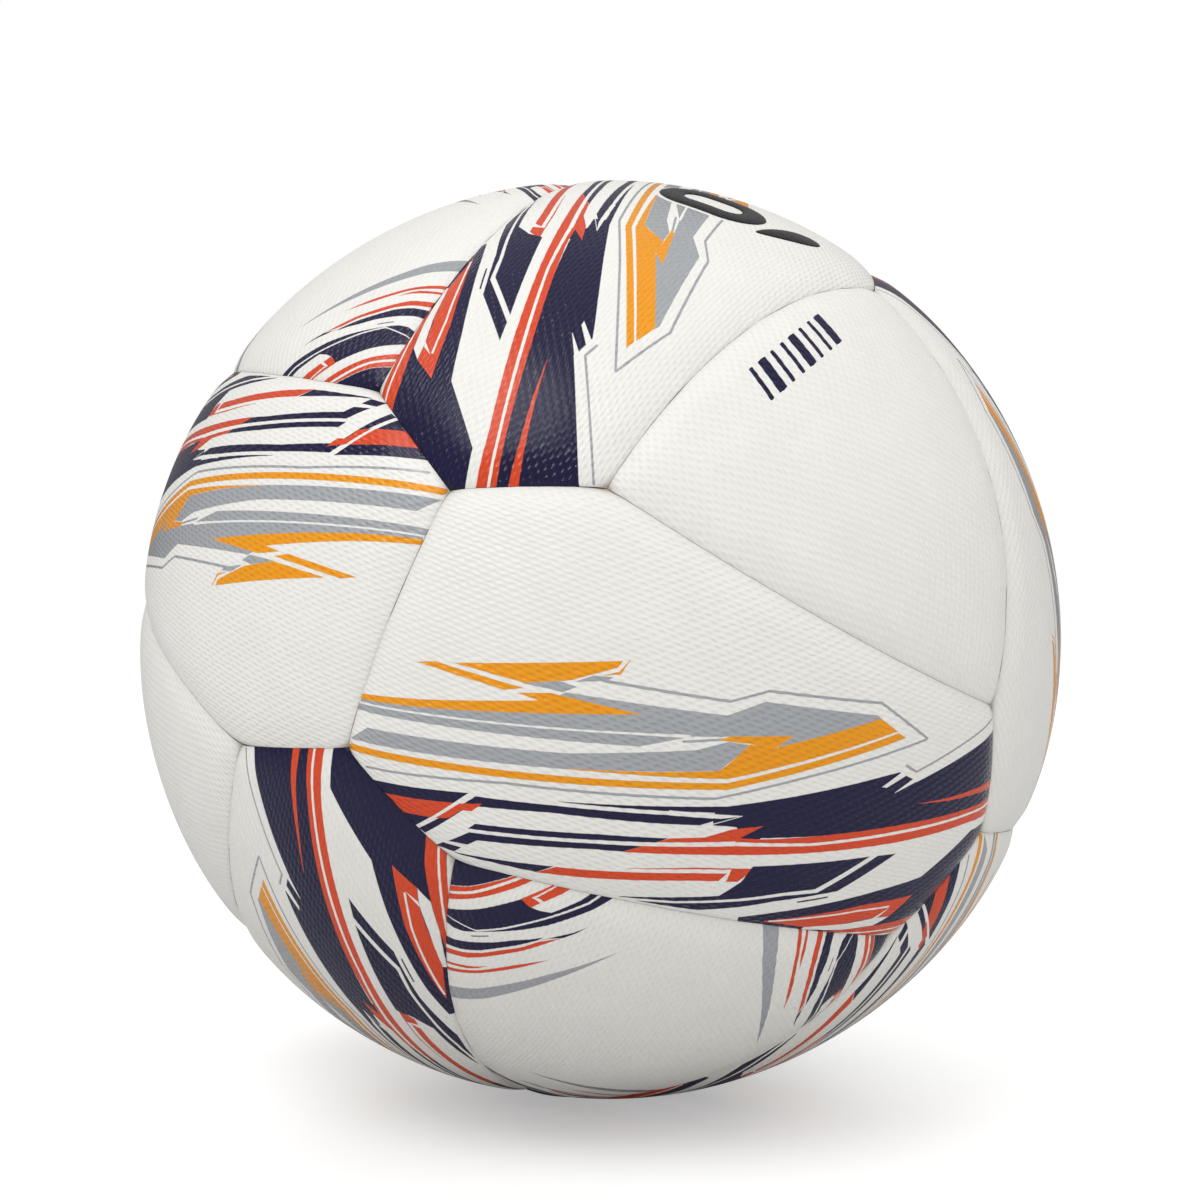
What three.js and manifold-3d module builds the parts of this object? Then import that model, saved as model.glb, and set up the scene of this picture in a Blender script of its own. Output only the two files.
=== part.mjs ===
// Size 5 soccer ball: twenty cover panels on foam pads, taped along the seams over
// a woven carcass, with an inflated bladder and its needle valve inside.
// Millimetres, Z up, the centre of the ball at the origin.
import * as THREE from 'three';
import { mergeVertices } from 'three/addons/utils/BufferGeometryUtils.js';
import Module from 'manifold-3d';

const wasm = await Module();
wasm.setup();

// Overall size and the build of the wall, from outside in.
const circumference = 690;
const skinThickness = 1.0;
const foamThickness = 3.0;
const tapeThickness = 0.5;
const carcassThickness = 0.9;
const bladderThickness = 0.7;
const layerGap = 0.3;

// Seam layout, in degrees seen from the centre of the ball.
const straightSeamHalf = 14.0; // half the seam that two heptagons share on a two-fold axis
const triangleCornerTilt = 25.1; // from that axis to the nearest corner of a triangle
const triangleCornerTurn = 55.4; // turn of that corner about the axis
const triangleBulge = 3.0; // how far a triangle's side bows out at its middle

// Widths measured across a seam.
const skinSeamGap = 0.8;
const foamSeamGap = 2.0;
const tapeWidth = 12;

// Valve, on the axis through the middle of its panel.
const valveStemRadius = 4.5;
const valveBoreRadius = 1.9;
const valvePocketRadius = 2.9;
const valvePocketLength = 7;
const valveFit = 0.3;
const valveRecess = 0.3;
const valveCoreRecess = 0.4;
const needleChannelRadius = 0.5;
const needleMouthRadius = 1.2;
const needleMouthDepth = 0.8;
const flangeRadius = 14;
const flangeThickness = 1.2;
const sleeveLength = 16; // below the flange
const valvePatchRadius = 15;
const balancePatchRadius = 14;
const balancePatchThickness = 1.5;

// Facets: each edge of an icosahedron is split into this many, on every layer alike.
const facetSplits = 6;
const roundSides = 24;

// The way the ball lies: turns about X, then Y, then Z, in degrees.
const restTurn = { x: 87.8, y: 23.2, z: -22.0 };

const { degToRad } = THREE.MathUtils;
const faceCentreToCorner = degToRad(37.377); // on a plain icosahedron
const facetAngle = Math.atan(Math.tan(faceCentreToCorner) / facetSplits);
const facetFlat = Math.cos(facetAngle); // a facet's plane, as a share of its layer's radius

// Layers.

function layerUnder(top, thickness) {
  return { outer: top, inner: top - thickness, middle: top - thickness / 2 };
}

const skin = layerUnder(circumference / (2 * Math.PI), skinThickness);
const foam = layerUnder(skin.inner - layerGap, foamThickness);
const tape = layerUnder(foam.inner - layerGap, tapeThickness);
const carcass = layerUnder(tape.inner - layerGap, carcassThickness);
const bladder = layerUnder(carcass.inner - layerGap, bladderThickness);
const balance = layerUnder(bladder.inner - layerGap, balancePatchThickness);

// Solids.

function solidFrom(geometry) {
  const bare = geometry.clone();
  bare.deleteAttribute('normal');
  bare.deleteAttribute('uv');
  const merged = mergeVertices(bare);
  return new wasm.Manifold(new wasm.Mesh({
    numProp: 3,
    vertProperties: new Float32Array(merged.attributes.position.array),
    triVerts: new Uint32Array(merged.index.array),
  }));
}

function geometryFrom(solid) {
  const mesh = solid.getMesh();
  const geometry = new THREE.BufferGeometry();
  geometry.setAttribute('position', new THREE.BufferAttribute(mesh.vertProperties, 3));
  geometry.setIndex(new THREE.BufferAttribute(mesh.triVerts, 1));
  geometry.computeVertexNormals();
  return geometry;
}

function sphere(radius) {
  return solidFrom(new THREE.IcosahedronGeometry(radius, facetSplits - 1));
}

function shell(layer) {
  return sphere(layer.outer).subtract(sphere(layer.inner));
}

// A rod from the centre of the ball out through every layer, along a direction.
function rod(radius, direction) {
  const length = 2 * skin.outer;
  const geometry = new THREE.CylinderGeometry(radius, radius, length, roundSides);
  geometry.translate(0, length / 2, 0);
  geometry.applyQuaternion(new THREE.Quaternion().setFromUnitVectors(yAxis, direction));
  return solidFrom(geometry);
}

// All the space beyond a plane, as a block larger than the ball.
function halfSpace(normal, offset) {
  const side = 4 * skin.outer;
  const geometry = new THREE.BoxGeometry(side, side, side);
  geometry.translate(0, 0, side / 2 + offset);
  geometry.applyQuaternion(new THREE.Quaternion().setFromUnitVectors(zAxis, normal));
  return solidFrom(geometry);
}

// Seams. Corners lie on a unit sphere whose two-fold axes are X, Y and Z.

const xAxis = new THREE.Vector3(1, 0, 0);
const yAxis = new THREE.Vector3(0, 1, 0);
const zAxis = new THREE.Vector3(0, 0, 1);
const plainCentre = new THREE.Vector3(1, 1, 1).normalize();
const printedCentre = new THREE.Vector3(1, -1, 1).normalize();

const halfTurns = [
  new THREE.Quaternion(),
  new THREE.Quaternion().setFromAxisAngle(zAxis, Math.PI),
  new THREE.Quaternion().setFromAxisAngle(yAxis, Math.PI),
  new THREE.Quaternion().setFromAxisAngle(xAxis, Math.PI),
];
const thirdTurns = [0, 1, 2].map((step) => (
  new THREE.Quaternion().setFromAxisAngle(plainCentre, (step * 2 * Math.PI) / 3)
));
const allTurns = thirdTurns.flatMap((third) => (
  halfTurns.map((half) => third.clone().multiply(half))
));

function turned(point, turn) {
  return point.clone().applyQuaternion(turn);
}

function mirrored(point) {
  return new THREE.Vector3(point.x, -point.y, point.z);
}

const seamHalf = degToRad(straightSeamHalf);
const tilt = degToRad(triangleCornerTilt);
const turn = degToRad(triangleCornerTurn);
const cornerA = new THREE.Vector3(0, Math.sin(seamHalf), Math.cos(seamHalf));
const cornerB = new THREE.Vector3(
  Math.sin(tilt) * Math.cos(turn),
  Math.sin(tilt) * Math.sin(turn),
  Math.cos(tilt),
);
const cornerG = turned(cornerB, thirdTurns[1]);
const cornerK = turned(cornerB, thirdTurns[2]);
const cornerH = turned(cornerA, thirdTurns[1]);
const cornerD = mirrored(cornerA);
const cornerF = mirrored(cornerB);
const cornerI = mirrored(cornerG);

// The flat cut through the ball that makes one seam. A seam that bows out from the
// panel's centre has a positive bulge. The offset is for a ball of radius 1.
function seamCut(from, to, centre, bulgeDegrees) {
  const bulge = degToRad(bulgeDegrees);
  const inward = new THREE.Vector3().crossVectors(from, to).normalize();
  inward.multiplyScalar(Math.sign(inward.dot(centre)));
  const crest = from.clone().add(to).normalize().multiplyScalar(Math.cos(bulge));
  crest.addScaledVector(inward, -Math.sin(bulge));
  const alongFrom = from.clone().sub(crest);
  const alongTo = to.clone().sub(crest);
  const normal = new THREE.Vector3().crossVectors(alongFrom, alongTo).normalize();
  normal.multiplyScalar(Math.sign(normal.dot(inward)));
  return { normal, offset: normal.dot(from) };
}

function seamCuts(corners, bulges) {
  const centre = new THREE.Vector3();
  corners.forEach((corner) => centre.add(corner));
  centre.normalize();
  return corners.map((corner, index) => (
    seamCut(corner, corners[(index + 1) % corners.length], centre, bulges[index])
  ));
}

const heptagonCuts = seamCuts(
  [cornerA, cornerB, cornerG, cornerH, cornerI, cornerF, cornerD],
  [0, -triangleBulge, 0, 0, -triangleBulge, 0, 0],
);
const triangleCorners = [cornerB, cornerG, cornerK];
const triangleBulges = [triangleBulge, triangleBulge, triangleBulge];
const plainTriangleCuts = seamCuts(triangleCorners, triangleBulges);
const printedTriangleCuts = seamCuts(triangleCorners.map(mirrored), triangleBulges);

// The part of a solid that lies inside a panel's seams, each moved in by an inset.
function insideSeams(solid, cuts, radius, inset) {
  let kept = solid;
  for (const { normal, offset } of cuts) {
    kept = kept.intersect(halfSpace(normal, offset * radius + inset));
  }
  return kept;
}

// Pieces. Each family of panels has its seams, its copies and the nodes' names.

const panelFamilies = [
  { name: 'heptagon', cuts: heptagonCuts, turns: allTurns },
  { name: 'plain_triangle', cuts: plainTriangleCuts, turns: halfTurns },
  { name: 'printed_triangle', cuts: printedTriangleCuts, turns: halfTurns },
];

const valvePanel = 'plain_triangle_03';
const valveDirection = turned(plainCentre, halfTurns[2]);
const stemHoleRadius = valveStemRadius + valveFit;

const materials = {
  skin: new THREE.MeshStandardMaterial({ color: 0xf1efe9, roughness: 0.32, metalness: 0 }),
  printedSkin: new THREE.MeshStandardMaterial({ color: 0x28264b, roughness: 0.3, metalness: 0 }),
  heptagonSkin: new THREE.MeshStandardMaterial({ color: 0xf0a010, roughness: 0.32, metalness: 0 }),
  foam: new THREE.MeshStandardMaterial({ color: 0xe9e2cf, roughness: 0.95, metalness: 0 }),
  tape: new THREE.MeshStandardMaterial({ color: 0x3a3c42, roughness: 0.6, metalness: 0 }),
  carcass: new THREE.MeshStandardMaterial({ color: 0xcfcabb, roughness: 0.9, metalness: 0 }),
  rubber: new THREE.MeshStandardMaterial({ color: 0x1d1d20, roughness: 0.55, metalness: 0 }),
  silicone: new THREE.MeshStandardMaterial({ color: 0xd9d8d2, roughness: 0.4, metalness: 0 }),
};
const skinMaterials = {
  heptagon: materials.heptagonSkin,
  plain_triangle: materials.skin,
  printed_triangle: materials.printedSkin,
};

function named(name, geometry, material) {
  const mesh = new THREE.Mesh(geometry, material);
  mesh.name = name;
  return mesh;
}

// One layer of every panel. The valve's own panel has a hole at its middle.
function panelLayer(suffix, layer, seamGap, materialOf) {
  const group = new THREE.Group();
  for (const { name, cuts, turns } of panelFamilies) {
    const whole = insideSeams(shell(layer), cuts, layer.middle, seamGap / 2);
    const pierced = whole.subtract(rod(stemHoleRadius, plainCentre));
    turns.forEach((quaternion, index) => {
      const panel = `${name}_${String(index + 1).padStart(2, '0')}`;
      const solid = panel === valvePanel ? pierced : whole;
      const mesh = named(`${panel}_${suffix}`, geometryFrom(solid), materialOf(name));
      mesh.quaternion.copy(quaternion);
      group.add(mesh);
    });
  }
  return group;
}

// One net of tape under all the seams, with an opening at the middle of each panel.
function seamTape() {
  let net = shell(tape);
  for (const { cuts, turns } of panelFamilies) {
    const block = halfSpace(zAxis, -2 * skin.outer);
    const opening = geometryFrom(insideSeams(block, cuts, tape.middle, tapeWidth / 2));
    for (const quaternion of turns) {
      net = net.subtract(solidFrom(opening.clone().applyQuaternion(quaternion)));
    }
  }
  return named('seam_tape_net', geometryFrom(net), materials.tape);
}

function pierced(layer) {
  return geometryFrom(shell(layer).subtract(rod(stemHoleRadius, valveDirection)));
}

function valvePatch() {
  const disc = shell(tape).intersect(rod(valvePatchRadius, valveDirection));
  const ring = disc.subtract(rod(stemHoleRadius, valveDirection));
  return named('valve_patch', geometryFrom(ring), materials.tape);
}

function balancePatch() {
  const opposite = valveDirection.clone().negate();
  const disc = shell(balance).intersect(rod(balancePatchRadius, opposite));
  return named('balance_patch', geometryFrom(disc), materials.rubber);
}

// A solid of revolution about Z from [radius, height] pairs that close on themselves.
function revolved(outline) {
  const points = [...outline, outline[0]].map(([x, y]) => new THREE.Vector2(x, y));
  const geometry = new THREE.LatheGeometry(points, roundSides);
  geometry.rotateX(Math.PI / 2);
  return geometryFrom(solidFrom(geometry));
}

// The valve's levels above the centre of the ball, along its axis.
const valveTop = skin.outer * facetFlat - valveRecess;
const flangeReach = bladder.inner * facetFlat - layerGap;
const flangeTop = Math.sqrt(flangeReach ** 2 - flangeRadius ** 2);
const flangeBottom = flangeTop - flangeThickness;
const sleeveBottom = flangeBottom - sleeveLength;
const pocketTop = (flangeTop + sleeveBottom + valvePocketLength) / 2;
const pocketBottom = pocketTop - valvePocketLength;
const coreTop = valveTop - valveCoreRecess;

// Moulded rubber housing: a stem up through the wall, a flange under the bladder and a
// sleeve inside, bored through with a pocket that holds the core's bulb.
function valveHousing() {
  return named('valve_housing', revolved([
    [valveBoreRadius, sleeveBottom],
    [valveStemRadius, sleeveBottom],
    [valveStemRadius, flangeBottom],
    [flangeRadius, flangeBottom],
    [flangeRadius, flangeTop],
    [valveStemRadius, flangeTop],
    [valveStemRadius, valveTop],
    [valveBoreRadius, valveTop],
    [valveBoreRadius, pocketTop],
    [valvePocketRadius, pocketTop],
    [valvePocketRadius, pocketBottom],
    [valveBoreRadius, pocketBottom],
  ]), materials.rubber);
}

// Soft core with the channel that closes round a pump needle.
function valveCore() {
  const shank = valveBoreRadius - valveFit;
  const bulb = valvePocketRadius - valveFit;
  return named('valve_core', revolved([
    [needleChannelRadius, sleeveBottom],
    [shank, sleeveBottom],
    [shank, pocketBottom + valveFit],
    [bulb, pocketBottom + valveFit],
    [bulb, pocketTop - valveFit],
    [shank, pocketTop - valveFit],
    [shank, coreTop],
    [needleMouthRadius, coreTop],
    [needleChannelRadius, coreTop - needleMouthDepth],
  ]), materials.silicone);
}

function valve() {
  const group = new THREE.Group();
  group.add(valveHousing(), valveCore());
  group.quaternion.setFromUnitVectors(zAxis, valveDirection);
  return group;
}

const ball = new THREE.Group();
ball.add(
  panelLayer('skin', skin, skinSeamGap, (family) => skinMaterials[family]),
  panelLayer('foam', foam, foamSeamGap, () => materials.foam),
  seamTape(),
  valvePatch(),
  named('carcass', pierced(carcass), materials.carcass),
  named('bladder', pierced(bladder), materials.rubber),
  balancePatch(),
  valve(),
);
ball.rotation.set(degToRad(restTurn.x), degToRad(restTurn.y), degToRad(restTurn.z), 'ZYX');

export default ball;
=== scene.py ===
# %% [markdown]
# # A size 5 soccer ball
# The ball is a wall of layers round an inflated bladder. A printed skin of twenty panels lies on
# foam pads, tape closes the joints under them, and a wound carcass and the bladder carry the air.
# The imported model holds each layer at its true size. This script gives every panel its puffed
# shape, its embossed weave and its print, and gives the inner layers their own finish.

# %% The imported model
from math import acos, atan2, cos, exp, log, pi, radians, sin, sqrt

import bmesh
import bpy
from mathutils import Euler, Matrix, Vector, noise


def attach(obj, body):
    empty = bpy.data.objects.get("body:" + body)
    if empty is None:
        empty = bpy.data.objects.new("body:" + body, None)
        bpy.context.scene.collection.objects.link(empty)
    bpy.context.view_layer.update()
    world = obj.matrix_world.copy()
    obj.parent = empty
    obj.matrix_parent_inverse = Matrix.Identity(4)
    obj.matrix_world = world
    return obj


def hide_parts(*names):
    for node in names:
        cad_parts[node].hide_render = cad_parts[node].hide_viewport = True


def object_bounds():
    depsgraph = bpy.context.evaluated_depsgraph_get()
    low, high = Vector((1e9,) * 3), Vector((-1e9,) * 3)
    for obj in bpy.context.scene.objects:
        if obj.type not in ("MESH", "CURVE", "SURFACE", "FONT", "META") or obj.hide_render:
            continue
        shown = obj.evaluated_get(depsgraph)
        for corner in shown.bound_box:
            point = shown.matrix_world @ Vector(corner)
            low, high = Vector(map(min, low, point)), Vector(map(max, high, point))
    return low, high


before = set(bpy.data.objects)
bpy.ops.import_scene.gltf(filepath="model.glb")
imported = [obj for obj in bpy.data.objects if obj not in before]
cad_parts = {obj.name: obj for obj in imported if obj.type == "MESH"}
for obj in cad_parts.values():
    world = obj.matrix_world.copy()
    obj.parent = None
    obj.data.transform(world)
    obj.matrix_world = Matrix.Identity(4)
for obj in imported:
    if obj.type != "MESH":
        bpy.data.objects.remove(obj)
cad_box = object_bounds()
print("CAD nodes:", len(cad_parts))
print("CAD box, mm:", [round((high - low) * 1000, 1) for low, high in zip(*cad_box)])

# %% [markdown]
# ## The seam layout
# Heptagons and triangles meet on a sphere with the symmetry of a seamed cube: two heptagons share
# a short straight seam at each of the six ends of X, Y and Z, and each triangle sits on a corner of
# the cube. So a few angles give every corner, and turns about the axes give all twenty panels.
# Each seam is the flat cut of the ball through its two corners and its crest, which is why a single
# plane can trim a panel's mesh along it.

# %% Driving sizes
MM = 0.001
BALL_RADIUS = 690 * MM / (2 * pi)
SKIN_THICKNESS = 1.0 * MM
STRAIGHT_SEAM_HALF = radians(14.0)
TRIANGLE_CORNER_TILT = radians(25.1)
TRIANGLE_CORNER_TURN = radians(55.4)
TRIANGLE_BULGE = radians(3.0)
HEPTAGON_CENTRE_TILT = radians(38.0)
REST_TURN = Euler((radians(87.8), radians(23.2), radians(-22.0)), "XYZ").to_matrix()

plain_centre = Vector((1, 1, 1)).normalized()
printed_centre = Vector((1, -1, 1)).normalized()
heptagon_centre = Vector((sin(HEPTAGON_CENTRE_TILT), 0, cos(HEPTAGON_CENTRE_TILT)))

half_turns = [Matrix.Identity(3)] + [Matrix.Rotation(pi, 3, axis) for axis in "ZYX"]
third_turns = [Matrix.Rotation(2 * pi / 3 * step, 3, plain_centre) for step in range(3)]
all_turns = [third @ half for third in third_turns for half in half_turns]
print("ball radius, mm:", round(BALL_RADIUS / MM, 2), " turns:", len(all_turns))

# %% Corners and cuts
def mirrored(point):
    return Vector((point.x, -point.y, point.z))


corner_a = Vector((0, sin(STRAIGHT_SEAM_HALF), cos(STRAIGHT_SEAM_HALF)))
corner_b = Vector((
    sin(TRIANGLE_CORNER_TILT) * cos(TRIANGLE_CORNER_TURN),
    sin(TRIANGLE_CORNER_TILT) * sin(TRIANGLE_CORNER_TURN),
    cos(TRIANGLE_CORNER_TILT),
))
corner_g, corner_k = third_turns[1] @ corner_b, third_turns[2] @ corner_b
corner_h = third_turns[1] @ corner_a
corner_d, corner_f, corner_i = mirrored(corner_a), mirrored(corner_b), mirrored(corner_g)


def seam_cut(start, end, centre, bulge):
    """The plane through a seam's ends and its crest, as a normal towards the panel and an offset."""
    inward = start.cross(end).normalized()
    inward *= 1 if inward.dot(centre) > 0 else -1
    crest = (start + end).normalized() * cos(bulge) - inward * sin(bulge)
    normal = (start - crest).cross(end - crest).normalized() if bulge else inward.copy()
    normal *= 1 if normal.dot(inward) > 0 else -1
    return normal, normal.dot(start)


def seam_cuts(corners, bulges, centre):
    ends = corners[1:] + corners[:1]
    return [seam_cut(*seam, centre, bulge) for *seam, bulge in zip(corners, ends, bulges)]


heptagon_corners = [corner_a, corner_b, corner_g, corner_h, corner_i, corner_f, corner_d]
heptagon_bulges = [0, -TRIANGLE_BULGE, 0, 0, -TRIANGLE_BULGE, 0, 0]
triangle_corners = [corner_b, corner_g, corner_k]
heptagon_cuts = seam_cuts(heptagon_corners, heptagon_bulges, heptagon_centre)
plain_cuts = seam_cuts(triangle_corners, [TRIANGLE_BULGE] * 3, plain_centre)
printed_cuts = [(mirrored(normal), offset) for normal, offset in plain_cuts]
print("seams:", len(heptagon_cuts), len(plain_cuts), len(printed_cuts))

# %% [markdown]
# ## Panels
# A panel is cut flat from coated cloth and pressed round the ball, so its mesh starts flat too: a
# fine grid, which is wrapped on the sphere without stretching along the lines through its centre.
# Flat cuts trim it to its seams, and more cuts beside each seam give the rolled edge enough rows
# to be round. The flat position stays on the mesh as its UV map, which print and weave follow.

# %% A panel's flat chart
CHART_SPAN = 160 * MM


def panel_frame(centre, towards):
    """Turns a panel's own axes, x across it and z outwards, to the ball's."""
    across = (towards - centre * towards.dot(centre)).normalized()
    return Matrix((across, centre.cross(across), centre)).transposed()


def wrapped(flat, radius):
    """Where a point of the flat chart lies on the ball, in the panel's own axes."""
    angle, turn = flat.length / BALL_RADIUS, atan2(flat.y, flat.x)
    return Vector((sin(angle) * cos(turn), sin(angle) * sin(turn), cos(angle))) * radius


def unwrapped(point):
    """The flat chart's point under a point of the ball."""
    angle, turn = acos(max(-1, min(1, point.normalized().z))), atan2(point.y, point.x)
    return Vector((cos(turn), sin(turn))) * angle * BALL_RADIUS


FAMILIES = {
    "heptagon": {
        "axes": panel_frame(heptagon_centre, corner_h),
        "cuts": heptagon_cuts, "half_size": (78 * MM, 44 * MM),
    },
    "plain_triangle": {
        "axes": panel_frame(plain_centre, corner_b),
        "cuts": plain_cuts, "half_size": (62 * MM, 54 * MM),
    },
    "printed_triangle": {
        "axes": panel_frame(printed_centre, corner_f),
        "cuts": printed_cuts, "half_size": (62 * MM, 54 * MM),
    },
}
print("families:", ", ".join(FAMILIES))

# %% The shape of the puffed edge
GRID_STEP = 1.5 * MM
SEAM_GAP_HALF = 0.03 * MM
EDGE_ROWS = [0.35, 0.65, 1.05, 1.6, 2.4, 3.4, 4.8, 6.6]
ROLL_DEPTH, ROLL_WIDTH = 0.42 * MM, 0.95 * MM
SLOPE_DEPTH, SLOPE_WIDTH = 0.80 * MM, 3.8 * MM
CROWN_DEPTH, CROWN_WIDTH = 0.45 * MM, 12 * MM
CORNER_BLEND = 1.5 * MM
PUCKER_DEPTH, PUCKER_WIDTH, PUCKER_LENGTH = 0.22 * MM, 3.6 * MM, 6 * MM


def seam_distance(direction, cuts):
    """How far a direction is inside the nearest seam, blended smoothly where two seams meet."""
    total = 0
    for normal, offset in cuts:
        inside = BALL_RADIUS * (pi / 2 - acos(normal.dot(direction)) - (pi / 2 - acos(offset)))
        total += exp(-inside / CORNER_BLEND)
    return -CORNER_BLEND * log(total)


def edge_drop(direction, inside):
    """How far the skin dips under the round ball, from its distance to the seam."""
    roll = ROLL_DEPTH * exp(-inside / ROLL_WIDTH)
    slope = SLOPE_DEPTH * exp(-(inside / SLOPE_WIDTH) ** 2)
    crown = CROWN_DEPTH * exp(-(inside / CROWN_WIDTH) ** 2)
    pucker = PUCKER_DEPTH * noise.noise(direction * BALL_RADIUS / PUCKER_LENGTH)
    return roll + slope + crown + pucker * exp(-inside / PUCKER_WIDTH)


print("dip at a seam, mm:", round(edge_drop(Vector((0, 0, 1)), SEAM_GAP_HALF) / MM, 2))

# %% [markdown]
# The valve comes up through the middle of one plain panel. A boolean would leave long thin faces
# round that hole, so a square of cells is taken out of the flat grid instead, and its outline is
# extruded inwards, ring by ring, to a true circle. The rings lie close together at the lip.

# %% The valve's hole
VALVE_PANEL = "plain_triangle_03"
STEM_RADIUS = 4.5 * MM
HOLE_RADIUS = STEM_RADIUS + 0.3 * MM
HOLE_RINGS = [2.6, 1.7, 1.0, 0.55, 0.25, 0.1, 0.0]
HOLE_MARGIN = 1.2 * MM
LIP_DEPTH, LIP_WIDTH = 0.45 * MM, 0.45 * MM


def open_hole(shape):
    """Takes cells out of the middle of a flat grid and leads the gap's edge to a round hole."""
    reach = HOLE_RADIUS + HOLE_RINGS[0] * MM + HOLE_MARGIN
    middle = [face for face in shape.faces if max(map(abs, face.calc_center_median())) < reach]
    bmesh.ops.delete(shape, geom=middle, context="FACES")
    edge = [side for side in shape.edges if side.is_boundary and side.verts[0].co.length < 2 * reach]
    for ring in HOLE_RINGS:
        made = bmesh.ops.extrude_edge_only(shape, edges=edge)["geom"]
        edge = [part for part in made if isinstance(part, bmesh.types.BMEdge)]
        for vert in made:
            if isinstance(vert, bmesh.types.BMVert):
                vert.co = vert.co.normalized() * (HOLE_RADIUS + ring * MM)


def lip_drop(direction, centre):
    """How far a layer dips at the hole."""
    beyond = BALL_RADIUS * acos(min(1, direction.dot(centre))) - HOLE_RADIUS
    return LIP_DEPTH * exp(-max(beyond, 0) / LIP_WIDTH)


print("valve hole, mm:", round(2 * HOLE_RADIUS / MM, 1))

# %% A panel's skin
CUT_SNAP, SAME_POINT = 1e-7, 0.03 * MM
SHARP_ANGLE = radians(50)


def trimmed_grid(family, gap, rows, step, hole):
    """The flat grid wrapped on the ball and cut at the seams, with extra rows beside them."""
    shape = bmesh.new()
    width, height = family["half_size"]
    bmesh.ops.create_grid(
        shape, x_segments=round(2 * width / step), y_segments=round(2 * height / step),
        size=1, matrix=Matrix.Diagonal((width, height, 1, 1)),
    )
    if hole:
        open_hole(shape)
    for vert in shape.verts:
        vert.co = family["axes"] @ wrapped(vert.co, BALL_RADIUS)
    for inset in [gap] + [row * MM for row in rows]:
        for normal, offset in family["cuts"]:
            tilt = acos(offset) - inset / BALL_RADIUS
            bmesh.ops.bisect_plane(
                shape, geom=shape.verts[:] + shape.edges[:] + shape.faces[:], dist=CUT_SNAP,
                plane_co=normal * BALL_RADIUS * cos(tilt), plane_no=-normal,
                clear_outer=(inset == gap),
            )
    bmesh.ops.remove_doubles(shape, verts=shape.verts, dist=SAME_POINT)
    return shape


def panel_shape(family, gap, rows, top_radius, thickness, step=GRID_STEP, hole=False):
    """A panel's closed shell: the dipped outer face and its wall, thickened inwards."""
    shape = trimmed_grid(family, gap, rows, step, hole)
    for vert in shape.verts:
        direction = vert.co.normalized()
        inside = seam_distance(direction, family["cuts"])
        dip = edge_drop(direction, inside)
        if hole:
            dip += lip_drop(direction, family["axes"].col[2])
        vert.co = direction * (top_radius - dip)
    bmesh.ops.recalc_face_normals(shape, faces=shape.faces)
    if shape.faces[0].normal.dot(shape.faces[0].calc_center_median()) < 0:
        bmesh.ops.reverse_faces(shape, faces=shape.faces)
    bmesh.ops.solidify(shape, geom=shape.faces[:], thickness=thickness)
    return shape


def finish_panel(shape, family):
    """Puts the flat chart in the UV map and the distance to the seam in an attribute."""
    chart = shape.loops.layers.uv.new("chart")
    seam = shape.verts.layers.float.new("seam")
    to_panel = family["axes"].transposed()
    for vert in shape.verts:
        vert[seam] = seam_distance(vert.co.normalized(), family["cuts"]) / MM
    for face in shape.faces:
        for loop in face.loops:
            flat = unwrapped(to_panel @ loop.vert.co) / CHART_SPAN
            loop[chart].uv = (flat.x + 0.5, flat.y + 0.5)


def mesh_from(shape, name):
    """A smooth mesh of a shape, which keeps its sharp corners sharp."""
    mesh = bpy.data.meshes.new(name)
    for face in shape.faces:
        face.smooth = True
    shape.to_mesh(mesh)
    shape.free()
    mesh.set_sharp_from_angle(angle=SHARP_ANGLE)
    return mesh


def add_object(name, data):
    made = bpy.data.objects.new(name, data)
    bpy.context.scene.collection.objects.link(made)
    return made


def place(mesh, name, material):
    """Makes an object of a mesh that is already in place, riding on the ball."""
    mesh.materials.append(material)
    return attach(add_object(name, mesh), "root")


def skin_mesh(family, name, hole=False):
    skin = panel_shape(family, SEAM_GAP_HALF, EDGE_ROWS, BALL_RADIUS, SKIN_THICKNESS, hole=hole)
    finish_panel(skin, family)
    return mesh_from(skin, name)


skin_meshes = {kind: skin_mesh(family, kind + "_skin_shape") for kind, family in FAMILIES.items()}
pierced_skin = skin_mesh(FAMILIES["plain_triangle"], "pierced_skin_shape", hole=True)
print("skin faces:", {kind: len(mesh.polygons) for kind, mesh in skin_meshes.items()})
print("pierced skin faces:", len(pierced_skin.polygons))

# %% [markdown]
# ## Node helpers
# Every finish below is a small program of nodes. These helpers keep it readable: a maths call
# makes one Math node and gives back its output, and a group is built once and then placed in any
# material that needs the same effect.

# %% Helpers for nodes
def feed(tree, value, socket):
    if isinstance(value, bpy.types.NodeSocket):
        tree.links.new(value, socket)
    else:
        socket.default_value = value


def add_node(tree, kind, inputs=None, **settings):
    made = tree.nodes.new(kind)
    for name, value in settings.items():
        setattr(made, name, value)
    for name, value in (inputs or {}).items():
        feed(tree, value, made.inputs[name])
    return made


def maths(tree, operation, *values, clamp=False):
    made = tree.nodes.new("ShaderNodeMath")
    made.operation, made.use_clamp = operation, clamp
    for value, socket in zip(values, made.inputs):
        feed(tree, value, socket)
    return made.outputs[0]


def vector_maths(tree, operation, *values, output="Vector"):
    made = tree.nodes.new("ShaderNodeVectorMath")
    made.operation = operation
    for value, socket in zip(values, made.inputs):
        feed(tree, value, socket)
    return made.outputs[output]


def mixed(tree, factor, first, second):
    """A colour mix."""
    made = tree.nodes.new("ShaderNodeMix")
    made.data_type = "RGBA"
    for value, socket in zip((factor, first, second), [made.inputs[i] for i in (0, 6, 7)]):
        feed(tree, value, socket)
    return made.outputs[2]


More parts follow.
